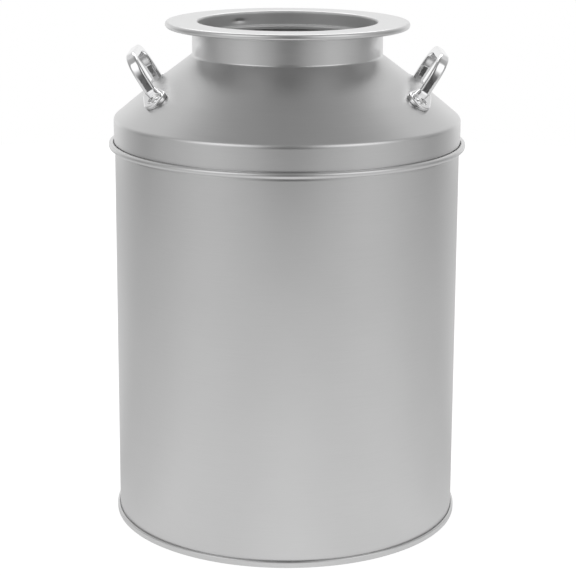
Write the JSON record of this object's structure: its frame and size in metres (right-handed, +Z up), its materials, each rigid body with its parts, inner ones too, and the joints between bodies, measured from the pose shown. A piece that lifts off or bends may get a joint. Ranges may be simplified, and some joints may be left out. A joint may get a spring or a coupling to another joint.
{
  "type": "milk can",
  "caption": "Sheet-metal milk can with a straight body, a slip-on cone shoulder, a flanged open mouth and a riveted bow handle on each side.",
  "frame": {"origin": "on the floor, at the centre of the base", "axes": "+Z up along the can's axis, handles on -X and +X, body's side seam at +Y"},
  "size_m": [0.2072, 0.2072, 0.2933],
  "materials": {
    "satin_steel": "satin",
    "handle_chrome": "polished",
    "rivet_chrome": "polished",
    "wire_steel": "drawn",
    "washer_steel": "plain",
    "seam_compound": "matte"
  },
  "bodies": {
    "can": {"body_shell": "satin_steel", "bottom_plate": "satin_steel", "bottom_seam_seal": "seam_compound"},
    "top": {"shoulder": "satin_steel", "skirt_bead_wire": "wire_steel", "mouth_ring": "satin_steel", "mouth_ring_wire": "wire_steel", "left_handle": "handle_chrome", "right_handle": "handle_chrome", "left_handle_front_rivet": "rivet_chrome", "left_handle_rear_rivet": "rivet_chrome", "right_handle_front_rivet": "rivet_chrome", "right_handle_rear_rivet": "rivet_chrome", "left_handle_front_washer": "washer_steel", "left_handle_rear_washer": "washer_steel", "right_handle_front_washer": "washer_steel", "right_handle_rear_washer": "washer_steel"}
  },
  "joints": [
    {"name": "shoulder_lift", "type": "slide", "parent": "can", "child": "top", "axis": [0, 0, 1], "range_m": [0, 0.08]}
  ]
}
